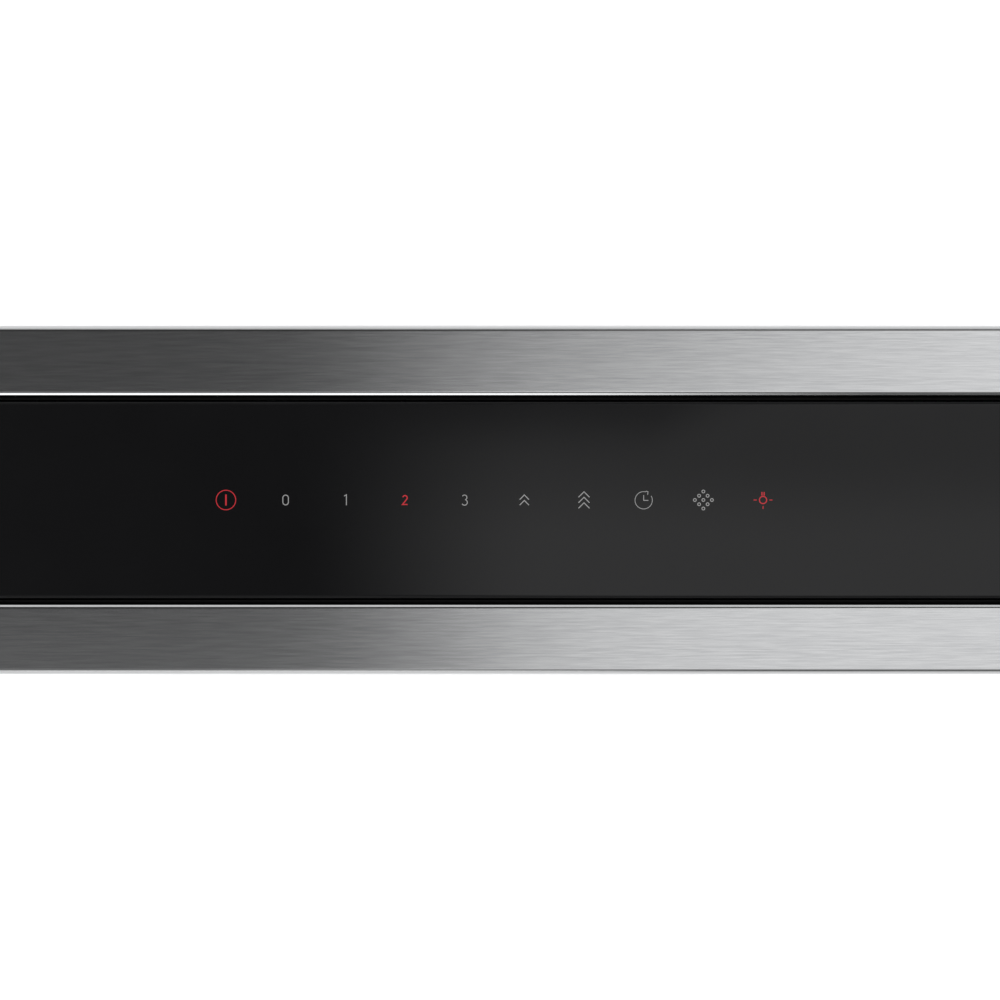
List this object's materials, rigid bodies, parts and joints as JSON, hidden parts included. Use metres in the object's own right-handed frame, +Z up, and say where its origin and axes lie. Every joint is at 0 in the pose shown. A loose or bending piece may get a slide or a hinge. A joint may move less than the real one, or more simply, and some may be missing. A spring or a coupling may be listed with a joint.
{
  "type": "downdraft vent",
  "caption": "Rising worktop extractor: steel trim frame with a flush black glass cap on a belt-lifted chimney, in a slim casing with a radial fan and a flat duct outlet.",
  "frame": {"origin": "on the floor under the middle of the vent, at the soles of the support legs", "axes": "+X along the worktop to the right, +Y to the back, +Z up"},
  "size_m": [0.918, 0.133, 0.761],
  "materials": {
    "brushed_stainless": "brushed along the width",
    "galvanised_sheet": "zinc coated",
    "black_glass": "polished, back painted",
    "aluminium": "mill",
    "dark_steel": "black zinc",
    "black_plastic": "moulded",
    "white_plastic": "moulded acetal",
    "opal_plastic": "opal",
    "black_rubber": "extruded",
    "grey_foam": "closed-cell foam",
    "circuit_board": "lacquered laminate"
  },
  "bodies": {
    "casing": {"trim_frame": "brushed_stainless", "frame_gasket": "grey_foam", "gap_seal": "black_rubber", "casing_front": "galvanised_sheet", "casing_rear": "galvanised_sheet", "casing_left": "galvanised_sheet", "casing_right": "galvanised_sheet", "casing_floor": "galvanised_sheet", "service_cover": "galvanised_sheet", "cable_gland": "black_plastic", "worktop_clamp_left": "dark_steel", "worktop_clamp_right": "dark_steel", "guide_rail_left": "aluminium", "guide_rail_right": "aluminium", "belt_left": "black_rubber", "belt_right": "black_rubber", "shaft_bearing_left": "black_plastic", "shaft_bearing_right": "black_plastic", "idler_axle_left": "dark_steel", "idler_axle_right": "dark_steel", "lift_gearbox": "black_plastic", "lift_motor": "dark_steel", "lift_bracket": "galvanised_sheet", "scroll_wrap": "galvanised_sheet", "scroll_rear_plate": "galvanised_sheet", "scroll_front_plate": "galvanised_sheet", "fan_motor": "dark_steel", "motor_bracket": "dark_steel", "outlet_adapter": "galvanised_sheet", "outlet_spigot": "black_plastic", "damper_bar": "black_plastic", "control_box": "black_plastic", "control_box_cover": "black_plastic", "power_board": "circuit_board"},
    "chimney": {"top_glass": "black_glass", "top_carrier": "dark_steel", "touch_board": "circuit_board", "light_bar": "aluminium", "light_diffuser": "opal_plastic", "front_glass": "black_glass", "chimney_front": "brushed_stainless", "chimney_rear": "brushed_stainless", "chimney_left": "aluminium", "chimney_right": "aluminium", "filter_frame": "galvanised_sheet", "grease_filter_left": "aluminium", "grease_filter_middle": "aluminium", "grease_filter_right": "aluminium", "carriage_left": "white_plastic", "carriage_right": "white_plastic"},
    "drive": {"drive_shaft": "dark_steel", "drive_pulley_left": "aluminium", "drive_pulley_right": "aluminium"},
    "idler_left": {"idler_pulley_left": "aluminium"},
    "idler_right": {"idler_pulley_right": "aluminium"},
    "fan": {"fan_wheel": "galvanised_sheet"},
    "damper_rear": {"flap_rear": "aluminium"},
    "damper_front": {"flap_front": "aluminium"},
    "leg_left": {"support_leg_left": "galvanised_sheet"},
    "leg_right": {"support_leg_right": "galvanised_sheet"}
  },
  "joints": [
    {"name": "chimney_lift", "type": "slide", "parent": "casing", "child": "chimney", "axis": [0, 0, 1], "range_m": [0, 0.3]},
    {"name": "drive_turn", "type": "hinge", "parent": "casing", "child": "drive", "pos_m": [0, -0.038, 0.35], "axis": [1, 0, 0], "range_deg": [0, 1224]},
    {"name": "idler_left_turn", "type": "hinge", "parent": "casing", "child": "idler_left", "pos_m": [-0.4228, -0.038, 0.734], "axis": [1, 0, 0], "range_deg": [0, 1224]},
    {"name": "idler_right_turn", "type": "hinge", "parent": "casing", "child": "idler_right", "pos_m": [0.4228, -0.038, 0.734], "axis": [1, 0, 0], "range_deg": [0, 1224]},
    {"name": "fan_spin", "type": "hinge", "parent": "casing", "child": "fan", "pos_m": [-0.11807, 0, 0.20155], "axis": [0, 1, 0], "continuous": true},
    {"name": "damper_rear_swing", "type": "hinge", "parent": "casing", "child": "damper_rear", "pos_m": [0, 0.0042, 0.065], "axis": [-1, 0, 0], "range_deg": [0, 75], "stiffness_Nm_per_rad": 0.008, "springref_deg": -91.67},
    {"name": "damper_front_swing", "type": "hinge", "parent": "casing", "child": "damper_front", "pos_m": [0, -0.0042, 0.065], "axis": [1, 0, 0], "range_deg": [0, 75], "stiffness_Nm_per_rad": 0.008, "springref_deg": -91.67},
    {"name": "leg_left_slide", "type": "slide", "parent": "casing", "child": "leg_left", "axis": [0, 0, 1], "range_m": [-0.04, 0]},
    {"name": "leg_right_slide", "type": "slide", "parent": "casing", "child": "leg_right", "axis": [0, 0, 1], "range_m": [-0.04, 0]}
  ],
  "couplings": [
    {"joint": "drive_turn", "follows": "chimney_lift", "rad_per_m": 70.922},
    {"joint": "idler_left_turn", "follows": "chimney_lift", "rad_per_m": 70.922},
    {"joint": "idler_right_turn", "follows": "chimney_lift", "rad_per_m": 70.922}
  ]
}
